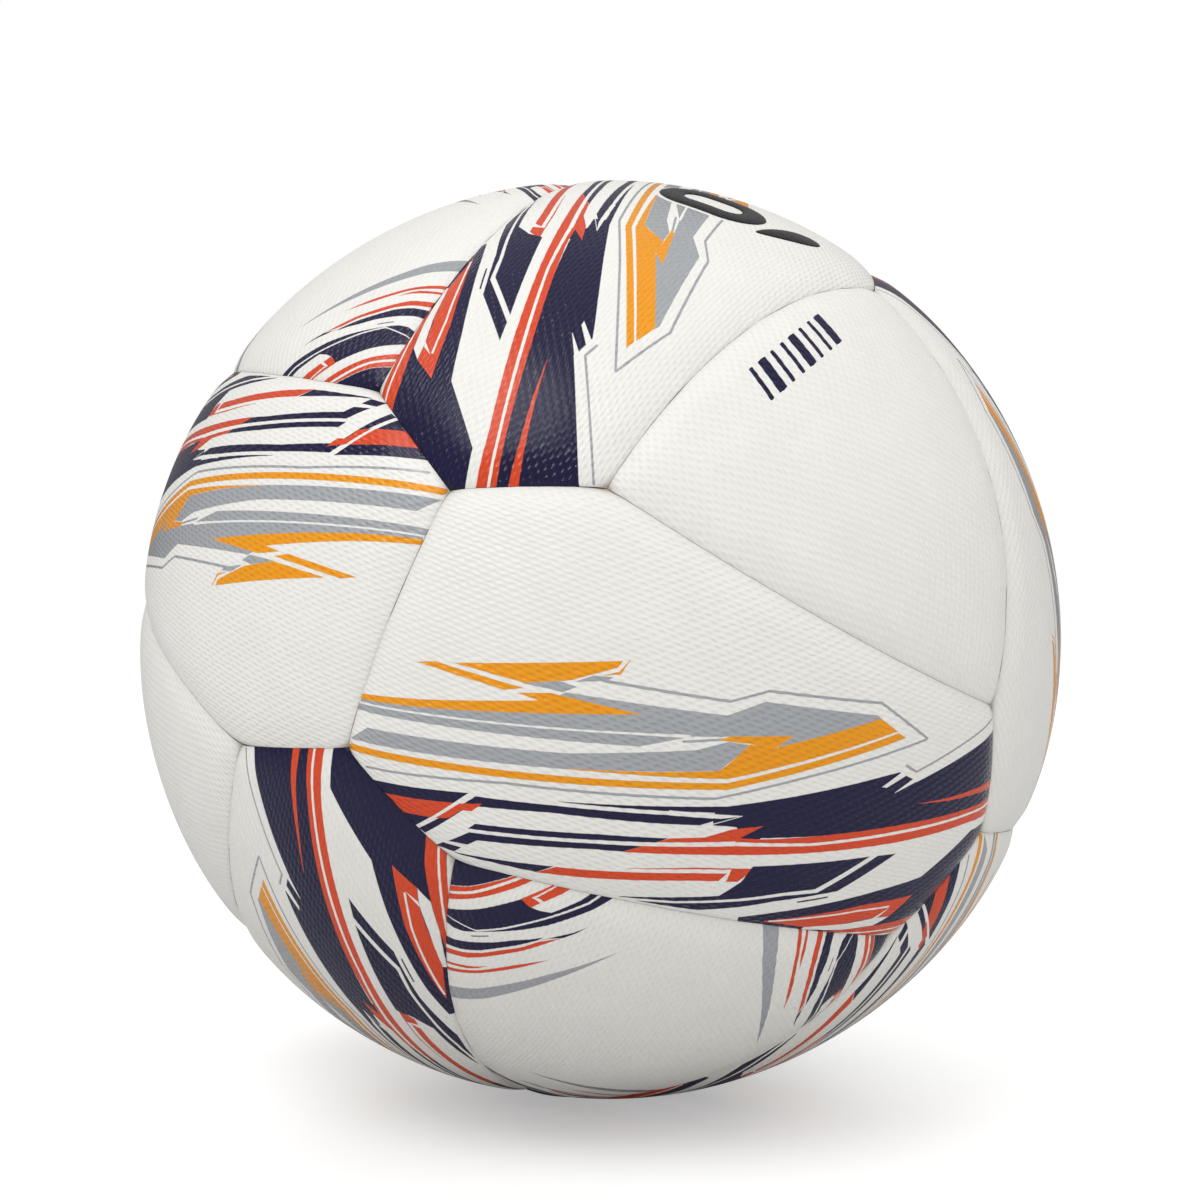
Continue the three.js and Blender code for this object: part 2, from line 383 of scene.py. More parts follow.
def split(tree, vector):
    return add_node(tree, "ShaderNodeSeparateXYZ", {"Vector": vector}).outputs


def clouds(tree, where, scale, detail, output="Fac"):
    inputs = {"Vector": where, "Scale": scale, "Detail": detail}
    return add_node(tree, "ShaderNodeTexNoise", inputs).outputs[output]


def turned(tree, vector, angle, centre=(0, 0, 0)):
    inputs = {"Vector": vector, "Center": centre, "Angle": angle}
    return add_node(tree, "ShaderNodeVectorRotate", inputs).outputs[0]


def raise_surface(tree, height, relief, surface):
    """Feeds a height through a Bump node to the shader's normal."""
    bump = add_node(tree, "ShaderNodeBump", {"Height": height, "Distance": relief})
    feed(tree, bump.outputs[0], surface["Normal"])


def new_group(name, inputs, outputs):
    """An empty node group: its tree, the values given to it, and the sockets for its results."""
    tree = bpy.data.node_groups.new(name, "ShaderNodeTree")
    for label, kind, value in inputs:
        socket = tree.interface.new_socket(label, in_out="INPUT", socket_type="NodeSocket" + kind)
        socket.default_value = value
    for label, kind in outputs:
        tree.interface.new_socket(label, in_out="OUTPUT", socket_type="NodeSocket" + kind)
    source, sink = tree.nodes.new("NodeGroupInput"), tree.nodes.new("NodeGroupOutput")
    return tree, source.outputs, sink.inputs


def place_group(tree, group, **inputs):
    made = tree.nodes.new("ShaderNodeGroup")
    made.node_tree = group
    for name, value in inputs.items():
        feed(tree, value, made.inputs[name.replace("_", " ")])
    return made.outputs


def new_material(name, **sockets):
    """A material with its Principled shader. Values that are even all over go on its sockets."""
    material = bpy.data.materials.new(name)
    material.use_nodes = True
    shader = material.node_tree.nodes["Principled BSDF"]
    for label, value in sockets.items():
        shader.inputs[label.replace("_", " ")].default_value = value
    return material, material.node_tree, shader.inputs


print("node helpers ready")

# %% [markdown]
# ## The embossed weave
# The coated cloth is pressed with short raised dashes, laid like bricks: rows 1 mm apart, 2.4 mm
# from dash to dash, every other row moved half a step, and each dash leaning a little. Three sine
# waves whose crests cross make exactly that lattice, and adding them costs less than a texture of
# cells. A little noise in the position keeps the rows from looking ruled.

# %% Embossed weave group
WEAVE_ROWS = (0.0, 1.0, 0.0)
WEAVE_RIGHT = (-0.415, 0.5, 0.0)
WEAVE_LEFT = (0.425, 0.5, 0.0)
WEAVE_WEIGHTS = (0.42, 0.38, 0.20)
DRIFT_SCALE, DRIFT_REACH = 0.55, (4.0, 4.0, 0.0)


def embossed_weave():
    tree, given, result = new_group(
        "embossed weave",
        [("Chart", "Vector", (0, 0, 0)), ("Turn", "Float", 0.0), ("Wander", "Float", 0.22)],
        [("Height", "Float")],
    )
    flat = turned(tree, given["Chart"], given["Turn"])
    drift = clouds(tree, flat, DRIFT_SCALE, 2.0, output="Color")
    centred = vector_maths(tree, "SUBTRACT", drift, (0.5, 0.5, 0.5))
    offset = add_node(
        tree, "ShaderNodeVectorMath", {0: centred, "Scale": given["Wander"]}, operation="SCALE",
    ).outputs[0]
    where = vector_maths(tree, "MULTIPLY_ADD", offset, DRIFT_REACH, flat)
    height = 0.5
    for wave, weight in zip((WEAVE_ROWS, WEAVE_RIGHT, WEAVE_LEFT), WEAVE_WEIGHTS):
        steps = vector_maths(tree, "DOT_PRODUCT", where, wave, output="Value")
        crest = maths(tree, "SINE", maths(tree, "MULTIPLY", steps, 2 * pi))
        height = maths(tree, "MULTIPLY_ADD", crest, weight / 2, height)
    feed(tree, height, result["Height"])
    return tree


weave_group = embossed_weave()
print(weave_group.name, "nodes:", len(weave_group.nodes))

# %% [markdown]
# ## The print
# The ink is laid in long pointed strokes. Each stroke is a band between an upper and a lower edge,
# and each edge is a line of height over length, so a Float Curve node can hold it. There is ink
# wherever the flat chart's height lies between the two curves. Strokes are laid in order, the
# later over the earlier, as a printer lays one screen after another, and a white stroke is simply
# bare skin again.

# %% Inks
BARE_SKIN = (0.80, 0.785, 0.745, 1)
INKS = {
    "white": BARE_SKIN,
    "gold": (0.83, 0.312, 0.0, 1),
    "grey": (0.36, 0.375, 0.395, 1),
    "navy": (0.010, 0.0085, 0.046, 1),
    "red": (0.68, 0.062, 0.014, 1),
}
INK_EDGE = 0.12
STROKE_END = 0.15
CHART_MM = CHART_SPAN / MM
CHART_MIDDLE = (0.5, 0.5, 0)


def stroke_edge(tree, points, along):
    """A Float Curve through an edge's points, which are in millimetres."""
    made = tree.nodes.new("ShaderNodeFloatCurve")
    feed(tree, along, made.inputs["Value"])
    places = [(x / CHART_MM + 0.5, y / CHART_MM + 0.5) for x, y in points]
    made.mapping.extend = "HORIZONTAL"
    made.mapping.clip_min_x, made.mapping.clip_max_x = places[0][0], places[-1][0]
    curve = made.mapping.curves[0]
    for spot in places[2:]:
        curve.points.new(*spot)
    for point, spot in zip(curve.points, places):
        point.location, point.handle_type = spot, "VECTOR"
    made.mapping.update()
    return made.outputs[0]


def closed(upper, lower):
    """Both edges brought together just past each end, so that a stroke stops there."""
    left, right = upper[0][0] - STROKE_END, upper[-1][0] + STROKE_END
    start = (left, (upper[0][1] + lower[0][1]) / 2)
    end = (right, (upper[-1][1] + lower[-1][1]) / 2)
    return [start, *upper, end], [start, *lower, end]


def lay_strokes(tree, strokes, along, height, colour):
    """Lays strokes of ink over a colour, in order."""
    for ink, *edges in strokes:
        upper, lower = closed(*edges)
        above = maths(tree, "SUBTRACT", height, stroke_edge(tree, lower, along))
        below = maths(tree, "SUBTRACT", stroke_edge(tree, upper, along), height)
        depth = maths(tree, "MINIMUM", above, below)
        mask = maths(tree, "MULTIPLY", depth, CHART_MM / INK_EDGE, clamp=True)
        colour = mixed(tree, mask, colour, INKS[ink])
    return colour


def line(ink, points, width):
    """A thin stroke of even width, widened by what its soft edge takes away."""
    half = (width + INK_EDGE) / 2
    return ink, [(x, y + half) for x, y in points], [(x, y - half) for x, y in points]


print("inks:", ", ".join(INKS))

# %% Strokes of a heptagon
HEPTAGON_STROKES = [
    line("grey", [(-31, 5.8), (-7.5, 10.7), (-1, 15), (23, 20.2), (37.4, 16.7)], 0.55),
    line("grey", [(-66, -30.2), (-40, -19.3), (-3, -7.1), (11, 1.4), (37.4, 16.7)], 0.55),
    ("gold", [(-57.5, -2.1), (-28.6, 10.6)],
     [(-57.5, -2.1), (-43.5, -0.1), (-36, 3.7), (-29, 9), (-28.6, 10.6)]),
    ("gold", [(-31.5, 6.5), (-28.5, 8.5), (-27.5, 11.2)],
     [(-31.5, 6.5), (-28.1, 8), (-27.3, 11.2)]),
    ("gold", [(-64, -5), (-60.5, -3.2), (-43, -0.9)],
     [(-64, -5), (-46.5, -2.8), (-43, -0.9)]),
    ("grey", [(-44, -0.2), (-38, 2.8), (-34.5, 3.1)],
     [(-44, -0.3), (-36.5, 1.1), (-34.5, 3.1)]),
    ("grey", [(-35.3, 3.8), (-32.5, 6.2), (-29, 7.2)],
     [(-35.3, 3.7), (-30, 6), (-29, 7.2)]),
    ("grey", [(-72, -17), (-60, -12.6), (-40, -3), (-36, 1.4), (-7, 8.2), (-1, 13), (23, 17.8),
     (25, 17)],
     [(-72, -18.4), (-48, -10.2), (-13, 1.8), (-1, 6), (6, 6), (25, 17)]),
    ("grey", [(-72.5, -18.4), (-25, -2.2), (-12.5, 1.8)],
     [(-72.5, -20.1), (-20, -2.9), (-12.5, 1.8)]),
    line("white", [(-76, -19.6), (-50, -10.7), (-25, -2.1), (-13, 2), (-12, 2.3)], 0.45),
    line("grey", [(-13, 0.8), (-5, 4.2)], 0.5),
    ("gold", [(-72.3, -16.3), (-60, -11.1), (-40.5, -2.2), (-36, 0.6), (-21.8, 2.8)],
     [(-72.3, -17.6), (-60, -12.9), (-35, -2.6), (-21.8, 2.7)]),
    ("gold", [(-44, -2.2), (-38.5, 0.2), (-36, 0.6)],
     [(-44, -2.4), (-36, -1.8)]),
    ("grey", [(-71.2, -26.2), (-68.3, -21.9), (-32, -9.2), (-10, 0.3), (-5, 3.7), (-0.6, 4.6)],
     [(-71.2, -26.4), (-30, -11.8), (-4.5, -2), (-0.6, 4.6)]),
    ("gold", [(-31, -11.9), (-16, -6.4), (-4.5, -1.9), (-3.5, -0.5), (-0.8, 4.7), (4, 5.6),
     (24, 17.4), (28.8, 16.2)],
     [(-31, -12.1), (-2.3, -2.9), (28.8, 16)]),
    ("gold", [(-6.8, 3.4), (-5, 4.8), (6.8, 8.9)],
     [(-6.8, 3.3), (-1, 4.6), (4, 5.4), (6.8, 8.8)]),
    ("gold", [(-71, -27.3), (-2, -3.5), (29.3, 15.9), (31.5, 15.5)],
     [(-71, -29), (-1.5, -4.8), (31.5, 15.4)]),
    line("grey", [(34, 10.4), (37.3, 9.8), (59, 25.6)], 0.55),
    ("navy", [(-29.5, -18.3), (-10, -11.2), (0, -7.6), (12, -1.7), (30, 7.4), (33, 8.8),
     (37.2, 8.3), (38.2, 7.8), (60.3, 23), (75, 38)],
     [(-29.5, -18.5), (-10, -12.3), (-1.7, -9.6), (-1.3, -12.1), (3.5, -10.9), (5, -12.8),
      (75, 9.5)]),
    ("white", [(-10, -12), (3.5, -8.4)],
     [(-10, -12.6), (-0.2, -10.4), (3.5, -8.6)]),
    line("white", [(-1.6, -12.1), (3.5, -8.5)], 0.2),
    ("white", [(30.1, 5.1), (33.5, 8.9), (35.4, 8.9)],
     [(30.1, 4.9), (31.2, 5), (35.4, 8.8)]),
    ("white", [(33.8, 4.8), (37.4, 8.6), (38.2, 8)],
     [(33.8, 4.5), (38.2, 7.8)]),
    ("red", [(41.5, 4), (50, 6.7), (60, 10.4), (69, 13.8)],
     [(41.5, 3.8), (50, 5.9), (60, 8.9), (69, 11.3)]),
    ("navy", [(-44.8, -26.8), (-43.8, -24.2), (-30, -19.4), (-10, -13), (-0.2, -10.3)],
     [(-44.8, -26.9), (-30, -21.1), (-10, -15), (-3.5, -12.9), (-0.2, -10.4)]),
    ("navy", [(-42.5, -31.2), (-41.6, -29.5), (-20, -21.3), (-7.8, -17.2)],
     [(-42.5, -31.3), (-20, -22.7), (-9.5, -18.9), (-7.8, -17.3)]),
    ("navy", [(-45, -36), (-42, -31.8), (-20, -23.4), (-11.5, -20.4)],
     [(-45, -36.1), (-41.3, -34.7), (-40, -32.8), (-20, -24.8), (-14.5, -23), (-11.5, -20.5)]),
    ("navy", [(-46.9, -38.7), (-45.8, -36.9), (-42.2, -36)],
     [(-46.9, -38.8), (-43.1, -37.9), (-42.2, -36.1)]),
    ("navy", [(-43, -37.9), (-25, -31.3)],
     [(-43, -38.2), (-35, -36.1), (-27.3, -34.2), (-25, -31.5)]),
    ("red", [(-9.7, -18.8), (-7.5, -17.1), (-1.5, -14.7), (2.8, -11.5), (8.4, -9), (8.5, -12)],
     [(-9.7, -18.9), (5.2, -13.4), (8.5, -12.1)]),
    ("navy", [(5, -12.7), (8.5, -8.9), (9, -8)],
     [(5, -12.8), (9, -11.8)]),
    ("red", [(4.5, -13.1), (12, -10.7), (40, -0.8), (60, 5.9), (74, 10.8)],
     [(4.5, -13.8), (20, -9.5), (40, -2.3), (60, 4.6), (74, 9.2)]),
    ("red", [(-14.6, -23), (-11.6, -20.4), (5, -14.4), (20, -10), (40, -2.9), (60, 4.1), (74, 8.6)],
     [(-14.6, -23.1), (0, -18.1), (20, -11.7), (40, -5), (60, 2), (74, 6)]),
    ("navy", [(-68, -34), (-60, -30.5), (-45.2, -24.2)],
     [(-68, -36), (-52.3, -37), (-45.2, -24.4)]),
    ("red", [(-61, -33.7), (-58, -32.4), (-46.9, -27.4)],
     [(-61, -33.9), (-55.5, -35.4), (-49.9, -32.9), (-46.9, -27.5)]),
    ("navy", [(-51.4, -37), (-44.9, -26.2), (-44.2, -25)],
     [(-51.4, -37.1), (-49.8, -37.2), (-44.2, -27)]),
    ("red", [(-49, -32.4), (-45.9, -27), (-42, -25)],
     [(-49, -32.5), (-46.6, -31.1), (-45, -28.2), (-43.2, -27.5), (-42, -25.1)]),
    ("red", [(-27.4, -34.2), (-24.4, -31.1), (-20, -29.6), (0, -22.2), (6.2, -20.2)],
     [(-27.4, -34.3), (-20, -31.7), (0, -24.1), (5.3, -22.4), (6.2, -20.3)]),
    ("red", [(-12, -25.7), (0, -20.9), (10.3, -17.8)],
     [(-12, -25.9), (0, -21.4), (6.6, -19.3), (6.8, -22), (9, -21.4), (10.3, -19)]),
    ("navy", [(-10.5, -32.6), (7.1, -25.3), (9.8, -21), (10.3, -17.3), (20, -14), (34.9, -9)],
     [(-10.5, -32.9), (0, -29.5), (12, -24.5), (20, -20.8), (26, -18.6), (34.9, -9.1)]),
    ("navy", [(-7, -32.3), (0, -30), (12, -25.1), (20, -21.5), (27, -19.1), (36.8, -8.5),
     (41.4, -7.2)],
     [(-7, -32.5), (5, -30.2), (12, -26.9), (19, -23.2), (31.5, -17.9), (41.4, -7.3)]),
    line("navy", [(23.8, -22.2), (30, -19.6)], 0.4),
    ("navy", [(14, -29), (22, -25), (42, -15.9), (53, -11.3), (64, 0.8), (75, 4.2)],
     [(14, -29.2), (18, -40), (75, -40)]),
    ("red", [(20, -28.4), (30, -24.1), (40, -19.9), (53.7, -15.8)],
     [(20, -28.8), (32, -28), (40, -24.8), (46, -22.6), (50.3, -21.8), (53.7, -15.9)]),
    line("white", [(21, -28.4), (30, -25), (40, -21.4), (48.2, -19.3)], 0.5),
    ("white", [(45.8, -22.6), (48.6, -19.4)],
     [(45.8, -22.8), (47, -22.4), (48.6, -19.6)]),
    ("white", [(30, -28), (40, -24.9), (46, -22.6), (50.3, -21.7)],
     [(30, -29), (40, -27.2), (47.6, -24.8), (50.3, -21.8)]),
    ("red", [(34, -28.9), (48, -24.7), (56, -22.4), (68, -20.3)],
     [(34, -29.2), (48, -28.4), (68, -24.5)]),
    line("white", [(40, -28.5), (54, -25.7), (68, -22.8)], 0.5),
    ("white", [(46, -28.6), (68, -24.6)],
     [(46, -40), (68, -40)]),
]
print("heptagon strokes:", len(HEPTAGON_STROKES))

# %% Strokes of one corner of a printed triangle
CORNER_STROKES = [
    ("grey", [(-15.8, 24.3), (0, 28), (16, 31), (22.7, 32.8), (27, 34.5)],
     [(-15.8, 24.3), (0, 26.2), (16, 27.8), (27, 29.8)]),
    ("red", [(-2.7, 31), (0, 32), (4, 33.3), (12, 35.2), (18.3, 37.3), (24, 39.8)],
     [(-2.7, 30.9), (4, 32.3), (12, 34.3), (18.3, 36.2), (24, 38.3)]),
    ("red", [(9.3, 35.4), (12, 36.3), (14, 37.2), (18.5, 39.1), (24, 41.6)],
     [(9.3, 35.3), (12, 35.7), (14, 36.3), (18, 38.1), (24, 40.8)]),
    ("red", [(-9, 33.8), (-7.3, 34.3), (-4, 35.7), (0, 36.4), (4, 37.7), (8, 38.7), (12, 40.3),
     (15.7, 42.2), (22, 45)],
     [(-9, 33.7), (0, 35.4), (8, 37.5), (12, 38.7), (15.7, 40.5), (22, 43.4)]),
    ("navy", [(-13.9, 33), (-10.7, 33.7), (-8, 34.7), (-4.5, 35.8)],
     [(-13.9, 32.9), (-11.3, 33.1), (-8.5, 33.7), (-6.3, 35), (-4.5, 35.7)]),
    ("navy", [(-5.8, 35.9), (-3, 37), (0, 38.5), (4, 39.9), (8, 41.7), (12, 43.5), (13.7, 44.8),
     (18, 48.5)],
     [(-5.8, 35.9), (-4, 36), (0, 37), (4, 38.2), (8, 39.3), (12, 41), (15.3, 43), (18, 44.6)]),
    line("navy", [(4, 41.6), (7.3, 43)], 0.25),
    ("navy", [(-25, 37.7), (-19.7, 38), (-16.3, 38.3), (-10.3, 39.7), (-8.7, 41.3), (-7.8, 42.7),
     (-7.3, 45.2), (1, 47.5), (9.2, 50.2), (12.5, 52)],
     [(-25, 33.8), (-17.3, 35.2), (-8, 37.7), (-2.7, 39.7), (5.3, 43.3), (8.3, 44.5), (10, 45.7),
      (11.2, 47.8), (12.5, 52)]),
    line("white", [(-25, 36.1), (-17.3, 36.8), (-7, 39.7), (0.3, 41.8), (5.5, 43.7), (9, 47.7),
     (10, 49.3), (12, 53)], 0.45),
    ("red", [(-22, 42.9), (-15.6, 43.6), (-10.7, 44.6), (-7.2, 45.3)],
     [(-22, 39.8), (-17.2, 41.1), (-14.7, 41.3), (-9.7, 42.4), (-8, 42.6), (-7.6, 42.8),
      (-7.2, 45.2)]),
    line("white", [(-22, 42.3), (-16, 43.1), (-10.4, 43.8), (-9.2, 44.1)], 0.35),
    ("white", [(-10.7, 42), (-10.2, 43.4), (-9.2, 44.3)],
     [(-10.7, 41.9), (-9.9, 42.2), (-9.2, 44.2)]),
    ("red", [(-16, 47.8), (-9, 49.5), (0.3, 52.5), (3.3, 53.7), (10, 56.2)],
     [(-16, 45.8), (-7.7, 47.5), (-1, 49.3), (6.3, 51.5), (7.5, 52.2), (10, 53.4)]),
    line("white", [(-16, 47), (-6, 49.5), (0.3, 51.1), (6.3, 53.15), (10, 54.8)], 0.6),
    ("navy", [(-16, 62), (10, 62)],
     [(-16, 47.8), (-9, 49.5), (0.3, 52.5), (3.3, 53.7), (10, 56.2)]),
]
print("corner strokes:", len(CORNER_STROKES))

# %% Print groups
def print_group(name, lay):
    """A print as a group: a place on the chart in, its colour and how much ink covers it out."""
    tree, given, result = new_group(
        name, [("Chart", "Vector", (0, 0, 0))], [("Color", "Color"), ("Ink", "Float")],
    )
    colour = lay(tree, given["Chart"])
    blue = add_node(tree, "ShaderNodeSeparateColor", {"Color": colour}).outputs["Blue"]
    cover = {"Value": blue, "From Min": BARE_SKIN[2], "From Max": INKS["grey"][2]}
    feed(tree, colour, result["Color"])
    feed(tree, add_node(tree, "ShaderNodeMapRange", cover).outputs[0], result["Ink"])
    return tree


def heptagon_print(tree, chart):
    flat = split(tree, chart)
    return lay_strokes(tree, HEPTAGON_STROKES, flat["X"], flat["Y"], BARE_SKIN)


def corner_print():
    """One corner's strokes, which run across it, laid over whatever colour comes in."""
    tree, given, result = new_group(
        "corner print",
        [("Chart", "Vector", (0, 0, 0)), ("Turn", "Float", 0.0), ("Color", "Color", BARE_SKIN)],
        [("Color", "Color")],
    )
    flat = split(tree, turned(tree, given["Chart"], given["Turn"], CHART_MIDDLE))
    colour = lay_strokes(tree, CORNER_STROKES, flat["Y"], flat["X"], given["Color"])
    feed(tree, colour, result["Color"])
    return tree


def triangle_print(tree, chart):
    colour = BARE_SKIN
    for step in range(3):
        turn = step * 2 * pi / 3
        colour = place_group(tree, corner_group, Chart=chart, Turn=turn, Color=colour)["Color"]
    return colour


corner_group = corner_print()
heptagon_print_group = print_group("heptagon print", heptagon_print)
triangle_print_group = print_group("triangle print", triangle_print)
print("print groups:", len(heptagon_print_group.nodes), len(corner_group.nodes))

# %% [markdown]
# ## The generic tick row
# One plain panel carries a small printed row of slanted ticks. It is drawn with the same strokes
# as the rest of the print, each tick a band between two slanting edges, and says nothing.

# %% Tick row group
TICK_ROW_CENTRE = (12.6, -23.2)
TICK_ROW_TURN = radians(-32.3)
TICK_COUNT, TICK_PITCH, TICK_LENGTH, TICK_LEAN = 8, 3.6, 7.4, 1.1
THIN_TICK, THICK_TICK = 1.1, 2.5


def tick_strokes():
    """Ticks are taller than wide, so each is a band across the row: height over length, turned."""
    first = -TICK_PITCH * (TICK_COUNT - 1) / 2
    half = TICK_LENGTH / 2
    for number in range(TICK_COUNT):
        middle = first + number * TICK_PITCH
        width = THIN_TICK if number % 3 else THICK_TICK
        yield line("navy", [(-half, middle - TICK_LEAN), (half, middle + TICK_LEAN)], width)


def tick_print(tree, chart):
    shift = tuple(-value / CHART_MM for value in TICK_ROW_CENTRE) + (0,)
    moved = vector_maths(tree, "ADD", chart, shift)
    flat = split(tree, turned(tree, moved, TICK_ROW_TURN, CHART_MIDDLE))
    return lay_strokes(tree, tick_strokes(), flat["Y"], flat["X"], BARE_SKIN)


tick_print_group = print_group("tick print", tick_print)
print("tick print nodes:", len(tick_print_group.nodes))

# %% [markdown]
# ## Bare ground for the raised mark
# One heptagon carries a raised mark, and the printer leaves its ground bare, with a narrow margin
# all round. The mark is a ring pulled long, so its ground is every place within one distance of a
# short line, which takes only a few maths nodes.

# %% Marked heptagon print group
MARK_PANEL = 8
MARK_CENTRE = Vector((-30.5, 1, 0)) * MM
MARK_RING, MARK_PULL = 6.0 * MM, 3.7 * MM
MARK_STROKE, MARK_RISE = 2.8 * MM, 0.45 * MM
MARK_MARGIN = 1.2 * MM
DROP_CENTRE, DROP_TURN = Vector((-31.5, 19.5, 0)) * MM, radians(152)
DROP_LENGTH, DROP_WIDTH = 9.5 * MM, 3.4 * MM


def marked_print(tree, chart):
    printed = place_group(tree, heptagon_print_group, Chart=chart)["Color"]
    middle = tuple(part / CHART_SPAN + 0.5 for part in MARK_CENTRE[:2]) + (0,)
    away = split(tree, vector_maths(tree, "SUBTRACT", chart, middle))
    along = maths(tree, "SUBTRACT", maths(tree, "ABSOLUTE", away["Y"]), MARK_PULL / CHART_SPAN)
    beyond = maths(tree, "MAXIMUM", along, 0.0)
    across = maths(tree, "MULTIPLY", away["X"], away["X"])
    distance = maths(tree, "SQRT", maths(tree, "MULTIPLY_ADD", beyond, beyond, across))
    reach = (MARK_RING + MARK_STROKE + MARK_MARGIN) / CHART_SPAN
    inside = maths(tree, "SUBTRACT", reach, distance)
    ground = maths(tree, "MULTIPLY", inside, CHART_MM / INK_EDGE, clamp=True)
    return mixed(tree, ground, printed, BARE_SKIN)


marked_print_group = print_group("marked heptagon print", marked_print)
print("marked print nodes:", len(marked_print_group.nodes))

# %% [markdown]
# ## Skin finish
# The skin is white polyurethane over cloth, embossed and then printed, under a clear film. So the
# material has four parts: the chart read from the UV map, the weave as a bump, the print as the
# colour, and painted shade that darkens the colour close to the seams, read from the distance
# stored on the mesh; the weave's valleys are a little darker too, as painted shade. Ink makes
# the weave crisper and shines more, and its edges wander where they cross a dash. The grey ink
# holds fine metal flake, so it takes a heavier clear coat.

# %% Skin tone, painted valley shade and painted seam shade group
TONE_LOWEST, TONE_RANGE, PATCH_SCALE = 0.96, 0.08, 0.09
# VALLEY_SHADE is painted shade: how much darker the low parts of the weave are.
VALLEY_SHADE = 0.06
# The next three values paint shade into the seam groove: how dark it gets at most, its reach in mm,
# and its tint.
SEAM_SHADE_MOST, SEAM_SHADE_REACH, SEAM_SHADE_TINT = 0.55, 0.5, (0.56, 0.53, 0.49)


def tone_and_painted_shade():
    tree, given, result = new_group(
        "tone and painted shade",
        [("Seam", "Float", 0.0), ("Weave", "Float", 0.5), ("Chart", "Vector", (0, 0, 0)),
         ("Color", "Color", BARE_SKIN)],
        [("Color", "Color")],
    )
    patches = clouds(tree, given["Chart"], PATCH_SCALE, 4.0)
    shade = maths(tree, "MULTIPLY_ADD", patches, TONE_RANGE, TONE_LOWEST)
    # Painted shade in the weave's valleys: where the weave is low, the colour is a little darker.
    painted_valley_shade = maths(tree, "MULTIPLY_ADD", given["Weave"], VALLEY_SHADE, 1 - VALLEY_SHADE)
    toned = vector_maths(tree, "MULTIPLY", given["Color"], maths(tree, "MULTIPLY", shade, painted_valley_shade))
    # Painted shade in the seam groove: the colour darkens within about half a millimetre of each
    # seam, by more in some patches than in others.
    fade = maths(tree, "EXPONENT", maths(tree, "DIVIDE", given["Seam"], -SEAM_SHADE_REACH))
    painted_shade = maths(tree, "MULTIPLY", fade, maths(tree, "MULTIPLY", patches, SEAM_SHADE_MOST), clamp=True)
    colour = mixed(tree, painted_shade, toned, vector_maths(tree, "MULTIPLY", toned, SEAM_SHADE_TINT))
    feed(tree, colour, result["Color"])
    return tree


tone_and_shade_group = tone_and_painted_shade()
print("tone and painted shade nodes:", len(tone_and_shade_group.nodes))

# %% Skin materials
WEAVE_RELIEF = 0.165 * MM
INK_SHARPENS = 0.7
INK_WANDER = 0.10
BARE_COAT, INK_COAT, FLAKE_COAT, FLAKE_SHARPNESS = 0.05, 0.30, 0.6, 8.0
BARE_ROUGHNESS, INK_SMOOTHS, CREST_SMOOTHS = 0.42, 0.16, 0.06
GRAIN_SCALE, GRAIN_SHARE = 3.0, 0.15


def skin_material(name, print_group, weave_turn):
    material, tree, surface = new_material(
        name, IOR=1.45, Coat_Weight=BARE_COAT, Coat_Roughness=0.22, Coat_IOR=1.4,
        Specular_IOR_Level=0.40,
    )
    chart = add_node(tree, "ShaderNodeUVMap", uv_map="chart").outputs[0]
    seam = add_node(tree, "ShaderNodeAttribute", attribute_name="seam").outputs["Fac"]
    centred = vector_maths(tree, "SUBTRACT", chart, CHART_MIDDLE)
    flat = vector_maths(tree, "MULTIPLY", centred, (CHART_MM, CHART_MM, CHART_MM))
    weave = place_group(tree, weave_group, Chart=flat, Turn=weave_turn)["Height"]
    if print_group:
        wander = maths(tree, "MULTIPLY", maths(tree, "SUBTRACT", weave, 0.5), INK_WANDER / CHART_MM)
        inked = place_group(tree, print_group, Chart=vector_maths(tree, "ADD", chart, wander))
        colour, ink = inked["Color"], inked["Ink"]
        blue = add_node(tree, "ShaderNodeSeparateColor", {"Color": colour}).outputs["Blue"]
        off_grey = maths(tree, "ABSOLUTE", maths(tree, "SUBTRACT", blue, INKS["grey"][2]))
        flake = maths(tree, "MULTIPLY_ADD", off_grey, -FLAKE_SHARPNESS, 1.0, clamp=True)
        coat = maths(tree, "MULTIPLY_ADD", ink, INK_COAT, BARE_COAT)
        feed(tree, maths(tree, "MULTIPLY_ADD", flake, FLAKE_COAT, coat), surface["Coat Weight"])
    else:
        colour, ink = BARE_SKIN, 0.0
    # The group adds random tone and painted shade, darker in the weave's valleys and close to the
    # seams.
    painted_shade = place_group(tree, tone_and_shade_group, Seam=seam, Weave=weave, Chart=flat, Color=colour)
    feed(tree, painted_shade["Color"], surface["Base Color"])
    matt = maths(tree, "MULTIPLY_ADD", ink, -INK_SMOOTHS, BARE_ROUGHNESS)
    feed(tree, maths(tree, "MULTIPLY_ADD", weave, -CREST_SMOOTHS, matt), surface["Roughness"])
    grain = clouds(tree, flat, GRAIN_SCALE, 3.0)
    relief = maths(tree, "MULTIPLY", weave, maths(tree, "MULTIPLY_ADD", ink, INK_SHARPENS, 1.0))
    height = maths(tree, "MULTIPLY_ADD", grain, GRAIN_SHARE, relief)
    raise_surface(tree, height, WEAVE_RELIEF, surface)
    return material


